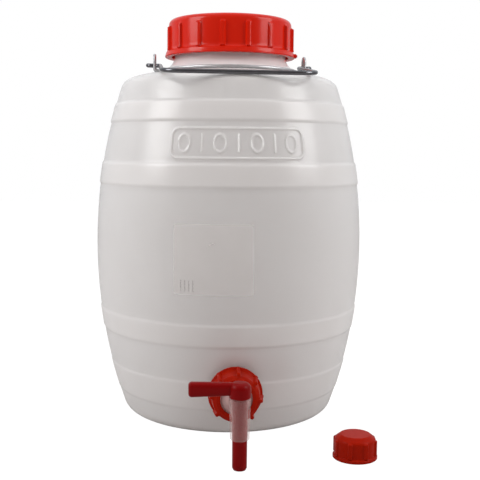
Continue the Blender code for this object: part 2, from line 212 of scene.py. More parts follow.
def makeMouldGrain():
    # slow shade changes of moulded plastic, its fine grain as a normal, and an uneven gloss
    tree, given, result = groupTree(
        "mouldGrain",
        [("Color", "NodeSocketColor", (1, 1, 1, 1)), ("Cloud Scale", "NodeSocketFloat", 9.0),
         ("Cloud", "NodeSocketFloat", 0.05), ("Grain Scale", "NodeSocketFloat", 900.0),
         ("Grain", "NodeSocketFloat", 0.1), ("Gloss", "NodeSocketFloat", 0.35),
         ("Gloss Change", "NodeSocketFloat", 0.08)],
        [("Color", "NodeSocketColor"), ("Roughness", "NodeSocketFloat"), ("Normal", "NodeSocketVector")])
    where = addNode(tree, "ShaderNodeTexCoord").outputs["Object"]
    cloud = addNode(tree, "ShaderNodeTexNoise",
                    {"Vector": where, "Scale": given["Cloud Scale"], "Detail": 3.0,
                     "Roughness": 0.55}).outputs["Fac"]
    shade = times(tree, minus(tree, cloud, 0.5), given["Cloud"])
    hsv = addNode(tree, "ShaderNodeHueSaturation",
                  {"Color": given["Color"], "Value": plus(tree, 1.0, shade)})
    grain = addNode(tree, "ShaderNodeTexNoise",
                    {"Vector": where, "Scale": given["Grain Scale"], "Detail": 2.0}).outputs["Fac"]
    gloss = addNode(tree, "ShaderNodeTexNoise",
                    {"Vector": where, "Scale": times(tree, given["Cloud Scale"], 2.7), "Detail": 4.0})
    change = times(tree, minus(tree, gloss.outputs["Fac"], 0.5), given["Gloss Change"])
    bump = addNode(tree, "ShaderNodeBump", {"Strength": given["Grain"], "Distance": 0.0004,
                                            "Height": grain})
    tree.links.new(hsv.outputs["Color"], result["Color"])
    tree.links.new(plus(tree, given["Gloss"], change), result["Roughness"])
    tree.links.new(bump.outputs["Normal"], result["Normal"])
    return tree


def makeScuffs():
    # thin handling scratches, stronger where a slow mask lets them through
    tree, given, result = groupTree(
        "handlingScuffs",
        [("Color", "NodeSocketColor", (1, 1, 1, 1)), ("Scuff Color", "NodeSocketColor", (1, 1, 1, 1)),
         ("Scale", "NodeSocketFloat", 60.0), ("Amount", "NodeSocketFloat", 0.2),
         ("Roughness", "NodeSocketFloat", 0.35)],
        [("Color", "NodeSocketColor"), ("Roughness", "NodeSocketFloat")])
    where = addNode(tree, "ShaderNodeTexCoord").outputs["Object"]
    marks = None
    for turn in (0.5, 2.1):
        turned = addNode(tree, "ShaderNodeMapping",
                         {"Vector": where, "Rotation": (turn, turn * 0.7, turn * 1.3),
                                                     "Scale": (1.0, 0.04, 0.3)})
        noise = addNode(tree, "ShaderNodeTexNoise",
                        {"Vector": turned.outputs["Vector"], "Scale": given["Scale"],
                         "Detail": 1.0}).outputs["Fac"]
        line = smoothRange(tree, mathNode(tree, "ABSOLUTE", minus(tree, noise, 0.5)), 0.012, 0.0)
        marks = line if marks is None else mathNode(tree, "MAXIMUM", marks, line)
    patch = addNode(tree, "ShaderNodeTexNoise",
                    {"Vector": where, "Scale": 14.0, "Detail": 2.0}).outputs["Fac"]
    mask = times(tree, times(tree, marks, smoothRange(tree, patch, 0.5, 0.72)),
                    given["Amount"])
    tree.links.new(mixColor(tree, mask, given["Color"], given["Scuff Color"]), result["Color"])
    tree.links.new(plus(tree, given["Roughness"], times(tree, mask, 0.35)),
                   result["Roughness"])
    return tree


mouldGrain = makeMouldGrain()
handlingScuffs = makeScuffs()


def newMaterial(name):
    material = bpy.data.materials.new(name)
    material.use_nodes = True
    tree = material.node_tree
    return material, tree, tree.nodes["Principled BSDF"]


def moulded(name, look):
    # a moulded plastic: grain, clouding and scuffs over one colour
    material, tree, shader = newMaterial(name)
    grain = addNode(tree, "ShaderNodeGroup", node_tree=mouldGrain)
    for key, value in (("Color", (*look["color"], 1)), ("Cloud Scale", look.get("cloudScale", 9.0)),
                       ("Cloud", look.get("cloud", 0.06)), ("Grain Scale", look.get("grainScale", 900.0)),
                       ("Grain", look.get("grain", 0.1)), ("Gloss", look["roughness"]),
                       ("Gloss Change", look.get("glossChange", 0.08))):
        grain.inputs[key].default_value = value
    scuff = addNode(tree, "ShaderNodeGroup", node_tree=handlingScuffs)
    scuff.inputs["Scuff Color"].default_value = (*look.get("scuffColor", look["color"]), 1)
    scuff.inputs["Scale"].default_value = look.get("scuffScale", 60.0)
    scuff.inputs["Amount"].default_value = look.get("scuff", 0.2)
    tree.links.new(grain.outputs["Color"], scuff.inputs["Color"])
    tree.links.new(grain.outputs["Roughness"], scuff.inputs["Roughness"])
    tree.links.new(scuff.outputs["Color"], shader.inputs["Base Color"])
    tree.links.new(scuff.outputs["Roughness"], shader.inputs["Roughness"])
    tree.links.new(grain.outputs["Normal"], shader.inputs["Normal"])
    if "veil" in look:
        # frosted wall: clear where it is seen square on, cloudy toward its outline
        facing = addNode(tree, "ShaderNodeLayerWeight", {"Blend": 0.35}).outputs["Facing"]
        square, slant = look["veil"]
        place = addNode(tree, "ShaderNodeSeparateXYZ",
                        {"Vector": addNode(tree, "ShaderNodeTexCoord").outputs["Object"]})
        flange = times(tree, smoothRange(tree, place.outputs[1], -0.186, -0.172), look["cloudyFlange"])
        cloudy = plus(tree, square, times(tree, facing, slant - square))
        tree.links.new(plus(tree, cloudy, flange), shader.inputs["Alpha"])
    if "lightAbove" in look:
        # painted light: above this height the base colour turns near white, standing in for the light that
        # the thin neck lets through more than the side
        height = addNode(tree, "ShaderNodeSeparateXYZ",
                         {"Vector": addNode(tree, "ShaderNodeTexCoord").outputs["Object"]})
        mask = smoothRange(tree, height.outputs[2], look["lightAbove"] - 0.004, look["lightAbove"] + 0.004)
        tree.links.new(mixColor(tree, mask, scuff.outputs["Color"], (0.97, 0.95, 0.94, 1)),
                       shader.inputs["Base Color"])
    for key, value in look.get("sockets", {}).items():
        shader.inputs[key].default_value = value
    return material


plastics = {
    "milkyPolyethylene": {"color": (0.80, 0.775, 0.76), "roughness": 0.25, "cloud": 0.06, "cloudScale": 7.0,
                          "grain": 0.12, "grainScale": 700.0, "scuffColor": (0.90, 0.89, 0.88),
                          "scuff": 0.04,
                          # the neck above this height gets painted light in its base colour
                          "lightAbove": 0.410,
                          "sockets": {"Subsurface Weight": 0.85, "Subsurface Scale": 0.008,
                                      "Subsurface Radius": (1.0, 1.0, 1.0), "IOR": 1.50}},
    "lidRed": {"color": (0.68, 0.013, 0.0014), "roughness": 0.18, "cloud": 0.10, "cloudScale": 26.0,
               "grain": 0.06,
               "scuffColor": (0.80, 0.10, 0.05), "scuff": 0.20, "sockets": {"Specular IOR Level": 0.24}},
    "tapRed": {"color": (0.345, 0.009, 0.0012), "roughness": 0.30, "cloud": 0.10, "cloudScale": 40.0,
               "grain": 0.06,
               "scuffColor": (0.62, 0.06, 0.04), "scuff": 0.22,
               "sockets": {"Specular IOR Level": 0.11, "IOR": 1.30}},
    "plugRed": {"color": (0.205, 0.001, 0.0015), "roughness": 0.30, "cloud": 0.10, "cloudScale": 40.0,
                "grain": 0.06,
                "scuffColor": (0.50, 0.04, 0.03), "scuff": 0.22,
                "sockets": {"Specular IOR Level": 0.20, "IOR": 1.30}},
    "frostedPolypropylene": {"color": (0.74, 0.50, 0.48), "roughness": 0.36, "cloud": 0.05,
                             "cloudScale": 40.0,
                             "grain": 0.05, "scuff": 0.1, "veil": (0.10, 0.45), "cloudyFlange": 0.5},
    "sealRubber": {"color": (0.62, 0.60, 0.54), "roughness": 0.62, "cloud": 0.12, "cloudScale": 60.0,
                   "grain": 0.2,
                   "scuff": 0.1},
}
finishes = {name: moulded(name, look) for name, look in plastics.items()}


def makeWireFinish(name, bright, dull, gloss):
    # galvanised wire: bright zinc with duller spangles and fine drawing lines; the bail's copy gets dark
    # colours, a painted dark reflection
    material, tree, shader = newMaterial(name)
    where = addNode(tree, "ShaderNodeTexCoord").outputs["Object"]
    spangle = addNode(tree, "ShaderNodeTexVoronoi", {"Vector": where, "Scale": 420.0}).outputs["Color"]
    cloud = addNode(tree, "ShaderNodeTexNoise",
                    {"Vector": where, "Scale": 120.0, "Detail": 4.0}).outputs["Fac"]
    tone = times(tree, addNode(tree, "ShaderNodeSeparateColor", {"Color": spangle}).outputs[0], 0.35)
    mask = plus(tree, tone, times(tree, cloud, 0.5))
    tree.links.new(mixColor(tree, mask, (*bright, 1), (*dull, 1)), shader.inputs["Base Color"])
    tree.links.new(plus(tree, gloss, times(tree, mask, 0.22)), shader.inputs["Roughness"])
    bump = addNode(tree, "ShaderNodeBump", {"Strength": 0.15, "Distance": 0.0002, "Height": cloud})
    tree.links.new(bump.outputs["Normal"], shader.inputs["Normal"])
    shader.inputs["Metallic"].default_value = 1.0
    return material


def makeFilmFinish(ticks):
    # clear film over milky plastic, with a short row of plain printed ticks at one corner, and a painted
    # highlight along its right and bottom edges
    material, tree, shader = newMaterial("labelFilm")
    where = addNode(tree, "ShaderNodeTexCoord").outputs["UV"]
    across, up, _ = addNode(tree, "ShaderNodeSeparateXYZ", {"Vector": where}).outputs
    place = mathNode(tree, "DIVIDE", minus(tree, across, ticks["start"]), ticks["pitch"])
    bar = mathNode(tree, "LESS_THAN", mathNode(tree, "FRACT", place), ticks["duty"])
    limits = (mathNode(tree, "GREATER_THAN", across, ticks["start"]),
              mathNode(tree, "LESS_THAN", across, ticks["start"] + ticks["pitch"] * ticks["count"]),
              mathNode(tree, "GREATER_THAN", up, ticks["low"]),
              mathNode(tree, "LESS_THAN", up, ticks["high"]))
    for limit in limits:
        bar = times(tree, bar, limit)
    cloud = addNode(tree, "ShaderNodeTexNoise",
                    {"Vector": where, "Scale": 5.0, "Detail": 3.0}).outputs["Fac"]
    film = mixColor(tree, cloud, (0.93, 0.905, 0.89, 1), (0.96, 0.94, 0.925, 1))
    # painted highlight: the film's right and bottom edges are mixed toward white
    edge = mathNode(tree, "MAXIMUM", smoothRange(tree, across, 0.978, 0.992),
                    smoothRange(tree, up, 0.020, 0.006))
    filmWithPaintedEdgeHighlight = mixColor(tree, times(tree, edge, 0.8), film, (1.0, 1.0, 1.0, 1))
    tree.links.new(mixColor(tree, times(tree, bar, ticks["ink"]), filmWithPaintedEdgeHighlight, (0.10, 0.10, 0.12, 1)),
                   shader.inputs["Base Color"])
    tree.links.new(plus(tree, 0.24, times(tree, cloud, 0.12)), shader.inputs["Roughness"])
    shader.inputs["Alpha"].default_value = 0.27
    return material


# Geometry Nodes trees. Each ends in Realize Instances and Set Material.
def geometryTree(name, sockets):
    tree = bpy.data.node_groups.new(name, "GeometryNodeTree")
    tree.interface.new_socket("Geometry", in_out="INPUT", socket_type="NodeSocketGeometry")
    for socketName, kind in sockets:
        tree.interface.new_socket(socketName, in_out="INPUT", socket_type=kind)
    tree.interface.new_socket("Geometry", in_out="OUTPUT", socket_type="NodeSocketGeometry")
    return tree, tree.nodes.new("NodeGroupInput").outputs, tree.nodes.new("NodeGroupOutput").inputs


def closeTree(tree, geometry, given, result):
    shaded = addNode(tree, "GeometryNodeSetShadeSmooth", {"Geometry": geometry}).outputs[0]
    real = addNode(tree, "GeometryNodeRealizeInstances", {"Geometry": shaded}).outputs[0]
    final = addNode(tree, "GeometryNodeSetMaterial",
                    {"Geometry": real, "Material": given["Material"]}).outputs[0]
    tree.links.new(final, result[0])
    return tree


floatSocket, materialSocket = "NodeSocketFloat", "NodeSocketMaterial"


def makeRibsTree():
    # raises evenly spaced grip ribs on a turned piece, with soft flanks and soft ends
    names = ("Ribs", "Width", "Proud", "Flank", "Low", "High", "Phase", "From Radius")
    tree, given, result = geometryTree("gripRibs",
                                       [(n, floatSocket) for n in names] + [("Material", materialSocket)])
    place = addNode(tree, "GeometryNodeInputPosition").outputs[0]
    x, y, z = addNode(tree, "ShaderNodeSeparateXYZ", {"Vector": place}).outputs
    radius = mathNode(tree, "SQRT", plus(tree, times(tree, x, x),
                                             times(tree, y, y)))
    angle = minus(tree, mathNode(tree, "ARCTAN2", y, x), given["Phase"])
    spacing = mathNode(tree, "DIVIDE", math.tau, given["Ribs"])
    share = mathNode(tree, "FRACT", plus(tree, mathNode(tree, "DIVIDE", angle, spacing), 0.5))
    offCenter = mathNode(tree, "ABSOLUTE", minus(tree, share, 0.5))
    distance = times(tree, times(tree, offCenter, spacing), radius)
    half = times(tree, given["Width"], 0.5)
    across = smoothRange(tree, distance, half, minus(tree, half, given["Flank"]))
    below = smoothRange(tree, z, given["Low"], plus(tree, given["Low"], given["Flank"]))
    above = smoothRange(tree, z, given["High"], minus(tree, given["High"], given["Flank"]))
    outside = mathNode(tree, "GREATER_THAN", radius, given["From Radius"])
    lift = given["Proud"]
    for mask in (across, below, above, outside):
        lift = times(tree, lift, mask)
    flat = addNode(tree, "ShaderNodeCombineXYZ", {"X": x, "Y": y})
    outward = addNode(tree, "ShaderNodeVectorMath", {0: flat.outputs[0]}, operation="NORMALIZE").outputs[0]
    offset = addNode(tree, "ShaderNodeVectorMath", {0: outward, "Scale": lift},
                     operation="SCALE").outputs[0]
    moved = addNode(tree, "GeometryNodeSetPosition",
                    {"Geometry": given["Geometry"], "Offset": offset}).outputs[0]
    return closeTree(tree, moved, given, result)


def makeWireTree():
    # a round wire along a chain of edges
    tree, given, result = geometryTree("bentWire", [("Radius", floatSocket), ("Spacing", floatSocket),
                                                    ("Material", materialSocket)])
    path = addNode(tree, "GeometryNodeMeshToCurve", {"Mesh": given["Geometry"]}).outputs[0]
    eased = addNode(tree, "GeometryNodeCurveSplineType", {"Curve": path},
                    spline_type="CATMULL_ROM").outputs[0]
    even = addNode(tree, "GeometryNodeResampleCurve", {"Curve": eased, "Length": given["Spacing"]},
                   mode="LENGTH")
    section = addNode(tree, "GeometryNodeCurvePrimitiveCircle",
                      {"Resolution": 20, "Radius": given["Radius"]})
    solid = addNode(tree, "GeometryNodeCurveToMesh",
                    {"Curve": even.outputs[0], "Profile Curve": section.outputs[0],
                                                      "Fill Caps": True})
    return closeTree(tree, solid.outputs[0], given, result)


def makeThreadTree():
    # screw-thread ridges round Z, one for each start, that fade out at both ends
    names = ("Radius", "Lead", "Turns", "Starts", "Ridge", "Bottom")
    tree, given, result = geometryTree("screwThread",
                                       [(n, floatSocket) for n in names] + [("Material", materialSocket)])
    rise = times(tree, given["Lead"], given["Turns"])
    helix = addNode(tree, "GeometryNodeCurveSpiral", {"Resolution": 96, "Rotations": given["Turns"],
                                                      "Start Radius": given["Radius"],
                                                      "End Radius": given["Radius"],
                                                      "Height": rise}).outputs[0]
    along = addNode(tree, "GeometryNodeSplineParameter").outputs["Factor"]
    nearEnd = mathNode(tree, "MINIMUM", along, minus(tree, 1.0, along))
    fade = plus(tree, smoothRange(tree, nearEnd, 0.0, 0.05), 0.02)
    faded = addNode(tree, "GeometryNodeSetCurveRadius", {"Curve": helix, "Radius": fade}).outputs[0]
    section = addNode(tree, "GeometryNodeCurvePrimitiveCircle",
                      {"Resolution": 10, "Radius": given["Ridge"]})
    settings = {"Curve": faded, "Profile Curve": section.outputs[0], "Fill Caps": True,
                "Scale": fade}
    ridge = addNode(tree, "GeometryNodeCurveToMesh", settings).outputs[0]
    points = addNode(tree, "GeometryNodeMeshLine",
                     {"Count": given["Starts"], "Offset": (0, 0, 0)}).outputs[0]
    order = addNode(tree, "GeometryNodeInputIndex").outputs[0]
    turn = mathNode(tree, "DIVIDE", times(tree, order, math.tau), given["Starts"])
    spin = addNode(tree, "ShaderNodeCombineXYZ", {"Z": turn}).outputs[0]
    copies = addNode(tree, "GeometryNodeInstanceOnPoints",
                     {"Points": points, "Instance": ridge, "Rotation": spin})
    lifted = addNode(tree, "GeometryNodeTransform",
                     {"Geometry": copies.outputs[0],
                      "Translation": addNode(tree, "ShaderNodeCombineXYZ",
                                             {"Z": given["Bottom"]}).outputs[0]})
    return closeTree(tree, lifted.outputs[0], given, result)


gripRibs, bentWire, screwThread = makeRibsTree(), makeWireTree(), makeThreadTree()


def runTree(obj, tree, material, **values):
    modifier = obj.modifiers.new(tree.name, "NODES")
    modifier.node_group = tree
    values["material"] = material
    for item in tree.interface.items_tree:
        name = item.name.replace(" ", "")
        key = name[0].lower() + name[1:]
        if item.in_out == "INPUT" and key in values:
            modifier[item.identifier] = values[key]
    return obj


# Barrel: one moulding with hoops, a framed relief panel, shoulder, neck and outlet spout.
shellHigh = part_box("barrel_shell")[1]
barrelBody = {
    "belly": shellHigh.x, "bellyHeight": 0.204, "sideArc": 0.595, "wall": 0.0026,
    "baseRadius": 0.105, "baseCorner": 0.012, "sideTop": 0.391,
    "shoulder": (0.106, 0.4045), "neckFoot": (0.0762, 0.4092), "neck": (0.0666, 0.427),
    "neckWall": 0.0031, "lip": shellHigh.z,
    "hoops": ((0.030, 0.067, 0.0007), (0.104, 0.133, 0.0010), (0.276, 0.305, 0.0013),
              (0.347, 0.373, 0.0013)),
    "hoopSlope": 0.0042,
    "seam": 0.00025, "seamWidth": 0.0009,
}
reliefPanel = {
    "low": 0.3090, "high": 0.3405, "halfAngle": math.radians(28.4), "corner": 0.0085,
    "turn": math.radians(0.7),
    "ridge": 0.0017, "proud": 0.0013, "marks": 7, "markPitch": 0.0194, "markSize": (0.0062, 0.0092),
    "markRidge": 0.0014, "markProud": 0.0010,
}
spout = {"start": 0.1355, "end": 0.1660, "radius": 0.0190, "bore": 0.0150, "root": 0.0215,
         "rootLength": 0.0115}


def sideRadius(z):
    arc = barrelBody["sideArc"]
    return barrelBody["belly"] - arc + np.sqrt(arc**2 - (z - barrelBody["bellyHeight"]) ** 2)


def hoopLift(z):
    slope = barrelBody["hoopSlope"]
    return sum(proud * smooth(z, low, low + slope) * smooth(z, high, high - slope)
               for low, high, proud in barrelBody["hoops"])


def ridgeLift(distance, half, proud):
    return proud * (1 - smooth(np.abs(distance), half * 0.35, half))


def panelLift(angle, z):
    panel = reliefPanel
    reach = float(sideRadius((panel["low"] + panel["high"]) / 2))
    u = (np.mod(angle - panel["turn"] + 1.5 * math.pi, math.tau) - math.pi) * reach
    v = z - (panel["low"] + panel["high"]) / 2
    corner = panel["corner"]
    qx = np.abs(u) - (panel["halfAngle"] * reach - corner)
    qy = np.abs(v) - ((panel["high"] - panel["low"]) / 2 - corner)
    frameEdge = np.hypot(np.maximum(qx, 0), np.maximum(qy, 0)) + np.minimum(np.maximum(qx, qy), 0) - corner
    lift = ridgeLift(frameEdge, panel["ridge"], panel["proud"])
    wide, tall = panel["markSize"]
    for k in range(panel["marks"]):
        du = u - (k - (panel["marks"] - 1) / 2) * panel["markPitch"]
        if k % 2:
            # an upright bar with round ends
            edge = np.hypot(du, np.maximum(np.abs(v) - tall, 0))
        else:
            # an oval ring
            edge = (np.hypot(du / wide, v / tall) - 1) * wide
        lift = np.maximum(lift, ridgeLift(edge, panel["markRidge"], panel["markProud"]))
    return lift


def barrelLift(angle, z, r):
    outerSide = (r > sideRadius(z) - 0.0004) & (z > 0.014) & (z < barrelBody["sideTop"])
    side = np.abs(np.mod(angle + math.pi / 2, math.pi) - math.pi / 2) * barrelBody["belly"]
    seam = ridgeLift(side, barrelBody["seamWidth"], barrelBody["seam"])
    return np.where(outerSide, hoopLift(z) + panelLift(angle, z) + seam, 0)


def cornerBend(start, slope, endHeight, offset, count=12):
    dz = endHeight - barrelBody["bellyHeight"]
    end = (float(sideRadius(endHeight)) - offset, endHeight)
    lean = dz / math.sqrt(barrelBody["sideArc"] ** 2 - dz**2)
    run = (end[0] - start[0] - lean * (start[1] - endHeight)) / (1 + lean * slope)
    return bend(start, (start[0] + run, start[1] + slope * run), end, count)


def barrelProfile():
    b = barrelBody
    wall, lip, corner = b["wall"], b["lip"], b["baseCorner"]
    slope = (b["shoulder"][1] - b["neckFoot"][1]) / (b["shoulder"][0] - b["neckFoot"][0])
    bore = b["neck"][0] - b["neckWall"]
    inside = [(0, wall)] + cornerBend((b["baseRadius"], wall), 0, corner + wall, wall, 8)
    heights = np.linspace(corner + wall, b["sideTop"] - wall, 32)[1:-1]
    inside += [(float(sideRadius(z)) - wall, z) for z in heights]
    shoulderInside = (b["shoulder"][0], b["shoulder"][1] - wall)
    inside += cornerBend(shoulderInside, slope, b["sideTop"] - wall, wall, 8)[::-1]
    inside += bend((b["neckFoot"][0] - wall, b["neckFoot"][1] - wall), (bore, b["neckFoot"][1]),
                   (bore, b["neck"][1] - wall), 8)
    lipRound = 0.0009
    neck = arcPoints((bore + lipRound, lip - lipRound), lipRound, 180, 90, 5)
    neck += arcPoints((b["neck"][0] - lipRound, lip - lipRound), lipRound, 90, 0, 5)
    flare = bend(b["neck"], (b["neck"][0] + 0.0004, b["neck"][1] - 0.006),
                 (b["neckFoot"][0] - 0.0010, b["neckFoot"][1] + 0.0042), 9)
    foot = bend(flare[-1], (b["neckFoot"][0], b["neckFoot"][1]),
                (b["neckFoot"][0] + 0.0040, b["neckFoot"][1] - 0.0006), 7)
    top = cornerBend(b["shoulder"], slope, b["sideTop"], 0)
    slopes = [z for low, high, _ in b["hoops"] for edge, way in ((low, 1), (high, -1))
              for z in edge + way * np.linspace(0, b["hoopSlope"], 6)]
    panel = np.arange(reliefPanel["low"] - 0.002, reliefPanel["high"] + 0.0025, 0.0009)
    heights = np.concatenate([np.arange(corner, b["sideTop"], 0.0055), slopes, panel])
    heights = np.unique(np.round(heights[(heights > corner) & (heights < b["sideTop"] - 0.001)], 5))[::-1]
    side = [(float(sideRadius(z)), z) for z in heights]
    floor = cornerBend((b["baseRadius"], 0), 0, corner, 0, 10)[::-1]
    return inside + neck + filled([neck[-1], b["neck"]],
                                  0.004)[1:] + flare[1:] + foot[1:] + top + side + floor + [(0, 0)]


def barrelTurns():
    panel = math.radians(36)
    front = -math.pi / 2 + np.linspace(-panel, panel, 168)
    rest = np.linspace(-math.pi / 2 + panel, 1.5 * math.pi - panel, 112)[1:-1]
    seams = np.array([0.0, math.pi])[:, None] + np.linspace(-0.006, 0.006, 7)[None, :]
    clear = rest[(np.abs(rest[:, None] - np.array([0.0, math.pi])[None, :]) > 0.012).all(1)]
    return np.sort(np.concatenate([front, clear, seams.ravel()]))


def makeBarrel():
    shell = newObject("barrelBody", turnedMesh("barrelBody", barrelProfile(), barrelTurns(), barrelLift),
                      finishes["milkyPolyethylene"])
    s = spout
    outline = [(0, s["end"]), *arcPoints((s["radius"] - 0.0008, s["end"] - 0.0008), 0.0008, 90, 0, 4)]
    outline += bend((s["radius"], s["start"] + s["rootLength"] + 0.004),
                    (s["radius"], s["start"] + s["rootLength"]),
                    (s["root"], s["start"] + 0.004), 8)
    outline += [(s["root"], s["start"]), (0, s["start"])]
    blank = newObject("spoutBlank", turnedMesh("spoutBlank", outline, evenTurns(72)))
    hole = [(0, s["end"] + 0.01), (s["bore"], s["end"] + 0.01), (s["bore"], s["start"] - 0.01),
            (0, s["start"] - 0.01)]
    bore = newObject("spoutBore", turnedMesh("spoutBore", hole, evenTurns(60)))
    for helper, operation in ((blank, "UNION"), (bore, "DIFFERENCE")):
        helper.data.transform(toOutlet)
        combine(shell, helper, operation)
    finishPiece(shell, "barrel", "milky_polyethylene", "barrel_shell")
    neckThread = newObject("neckThread", bpy.data.meshes.new("neckThread"))
    runTree(neckThread, screwThread, finishes["milkyPolyethylene"], radius=barrelBody["neck"][0] + 0.0002,
            lead=0.016, turns=1.25, starts=2.0, ridge=0.0019, bottom=0.4375)
    settle(neckThread, sharp=60)
    finishPiece(neckThread, "barrel", "milky_polyethylene")
    print("barrel made:", len(shell.data.polygons), "faces")


makeBarrel()


# Screw lid: ribs by Geometry Nodes on a turned cup, a lug on the rim, and the seal inside.
lidLow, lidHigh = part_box("screw_lid")
lid = {
    "top": lidHigh.z, "bottom": lidLow.z, "radius": 0.0735, "edge": 0.0062, "bore": 0.0703, "plate": 0.0032,
    "rimRadius": 0.0779, "rimHeight": 0.0068, "dish": (0.0560, 0.0008),
    "ribs": {"ribs": 16.0, "width": 0.0066, "proud": 0.0031, "flank": 0.0013, "low": 0.4337, "high": 0.4625,
             "phase": math.radians(12.9), "fromRadius": 0.0729},
    "lug": {"angle": math.radians(-11), "size": (0.0060, 0.0075, 0.0048), "reach": 0.0782, "rise": 0.0024},
}


def makeLid():
    d = lid
    top, bottom, radius, rim = d["top"], d["bottom"], d["radius"], d["rimRadius"]
    dishRadius, dishDepth = d["dish"]
    rimTop = bottom + d["rimHeight"]
    outline = [(0, top - 0.0003), (0.0013, top - 0.0003), (0.0019, top - dishDepth),
               (dishRadius, top - dishDepth),
               (dishRadius + 0.0014, top - 0.0001), (dishRadius + 0.0022, top)]
    outline += arcPoints((radius - d["edge"], top - d["edge"]), d["edge"], 90, 0, 12)
    outline += bend((radius, rimTop + 0.0042), (radius, rimTop), (rim - 0.0009, rimTop - 0.0012), 9)
    outline += arcPoints((rim - 0.0009, bottom + 0.0012), 0.0012, 40, -70, 6)
    outline += [(d["bore"] + 0.0008, bottom), (d["bore"], bottom + 0.0008), (d["bore"], top - d["plate"]),
                (0, top - d["plate"])]
    cup = newObject("screwLid", turnedMesh("screwLid", filled(outline, 0.0014), evenTurns(16 * 26)),
                    finishes["lidRed"])
    runTree(cup, gripRibs, finishes["lidRed"], **d["ribs"])
    settle(cup)
    lug = bmesh.new()
    bmesh.ops.create_cube(lug, size=1.0)
    bmesh.ops.scale(lug, vec=d["lug"]["size"], verts=lug.verts)
    bmesh.ops.bevel(lug, geom=lug.edges, offset=0.0012, segments=3, affect="EDGES")
    place = Matrix.Rotation(d["lug"]["angle"], 4, "Z") @ Matrix.Translation(
        (d["lug"]["reach"], 0, bottom + d["lug"]["rise"]))
    bmesh.ops.transform(lug, matrix=place, verts=lug.verts)
    lugMesh = bpy.data.meshes.new("lidLug")
    lug.to_mesh(lugMesh)
    lug.free()
    combine(cup, newObject("lidLug", lugMesh), "UNION")
    finishPiece(cup, "lid", "red_polypropylene", "screw_lid")
    thread = newObject("lidThread", bpy.data.meshes.new("lidThread"))
    runTree(thread, screwThread, finishes["lidRed"], radius=d["bore"] + 0.0004, lead=0.016, turns=0.9,
            starts=2.0,
            ridge=0.0013, bottom=0.4335)
    settle(thread, sharp=60)
    finishPiece(thread, "lid", "red_polypropylene")

    low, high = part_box("lid_seal")
    outer, inner, corner = high.x, 0.0625, 0.0006
    middle = (low.z + high.z) / 2
    half = (high.z - low.z) / 2 - corner
    ring = arcPoints((outer - corner, middle + half), corner, 90, 0, 4)
    ring += arcPoints((outer - corner, middle - half), corner, 0, -90, 4)
    ring += arcPoints((inner + corner, middle - half), corner, -90, -180, 4)
    ring += arcPoints((inner + corner, middle + half), corner, 180, 90, 4)
    seal = newObject("lidSeal", turnedMesh("lidSeal", ring + ring[:1], evenTurns(120)),
                     finishes["sealRubber"])
    settle(seal)
    finishPiece(seal, "seal", "seal_rubber", "lid_seal")
    print("lid made")


makeLid()


# Wire collar and bail: both follow the same bends as their solids.
wires = {
    "turn": math.radians(2.5), "collarWire": 0.0018, "collarRadius": 0.0795, "collarHeight": 0.4109,
    "earStart": math.radians(13), "earReach": 0.0905, "earHalf": 0.0065, "earTop": 0.4310,
    "bailWire": 0.0025, "pivotHeight": 0.4170, "reach": 0.1272,
    "droop": math.radians(7.5), "half": 0.0840, "corner": 0.021, "knee": 0.006, "tailBend": 0.005,
    "tailReach": 0.0985, "tail": 0.0065, "spacing": 0.0011,
}
collarFinish = makeWireFinish("collarZinc", (0.60, 0.60, 0.61), (0.46, 0.46, 0.47), 0.36)
# the bail's zinc is painted dark, a painted reflection of the dark surroundings in front of it; the collar
# keeps the bright zinc
bailPaintedDarkFinish = makeWireFinish("bailZinc", (0.17, 0.17, 0.18), (0.08, 0.08, 0.09), 0.10)


def wirePiece(name, path, radius, closed, place, node, body, finish):
    mesh = bpy.data.meshes.new(name)
    edges = [(i, i + 1) for i in range(len(path) - 1)] + ([(len(path) - 1, 0)] if closed else [])
    mesh.from_pydata(path, edges, [])
    piece = newObject(name, mesh)
    runTree(piece, bentWire, finish, radius=radius, spacing=wires["spacing"])
    settle(piece, place, sharp=50)
    finishPiece(piece, body, "galvanised_wire", node)


def makeCollar():
    w = wires
    start, ringRadius, height = w["earStart"], w["collarRadius"], w["collarHeight"]
    ring = (ringRadius * math.cos(start), -ringRadius * math.sin(start))
    foot = (w["earReach"], -w["earHalf"])
    knee = (ring[0] + math.tan(start) * (foot[1] - ring[1]), foot[1])
    rise = [(*p, height) for p in bend(ring, knee, (foot[0] - 0.003, foot[1]), 7)]
    rise += [(foot[0] - 0.0009, foot[1], height + 0.0009), (*foot, height + 0.003)]
    arch = w["earTop"] - w["collarWire"] - w["earHalf"]
    over = [(w["earReach"], x, z) for x, z in arcPoints((0, arch), w["earHalf"], 180, 0, 13)]
    ear = rise + over + [(x, -y, z) for x, y, z in reversed(rise)]
    path = []
    for side in (0, math.pi):
        path += [tuple(Matrix.Rotation(side, 3, "Z") @ Vector(p)) for p in ear]
        sweep = arcPoints((0, 0), ringRadius, math.degrees(side + start),
                          math.degrees(side + math.pi - start), 30)
        path += [(x, y, height) for x, y in sweep[1:-1]]
    wirePiece("wireCollar", path, w["collarWire"], True, Matrix.Rotation(w["turn"], 4, "Z"), "carry_collar",
              "barrel",
              collarFinish)


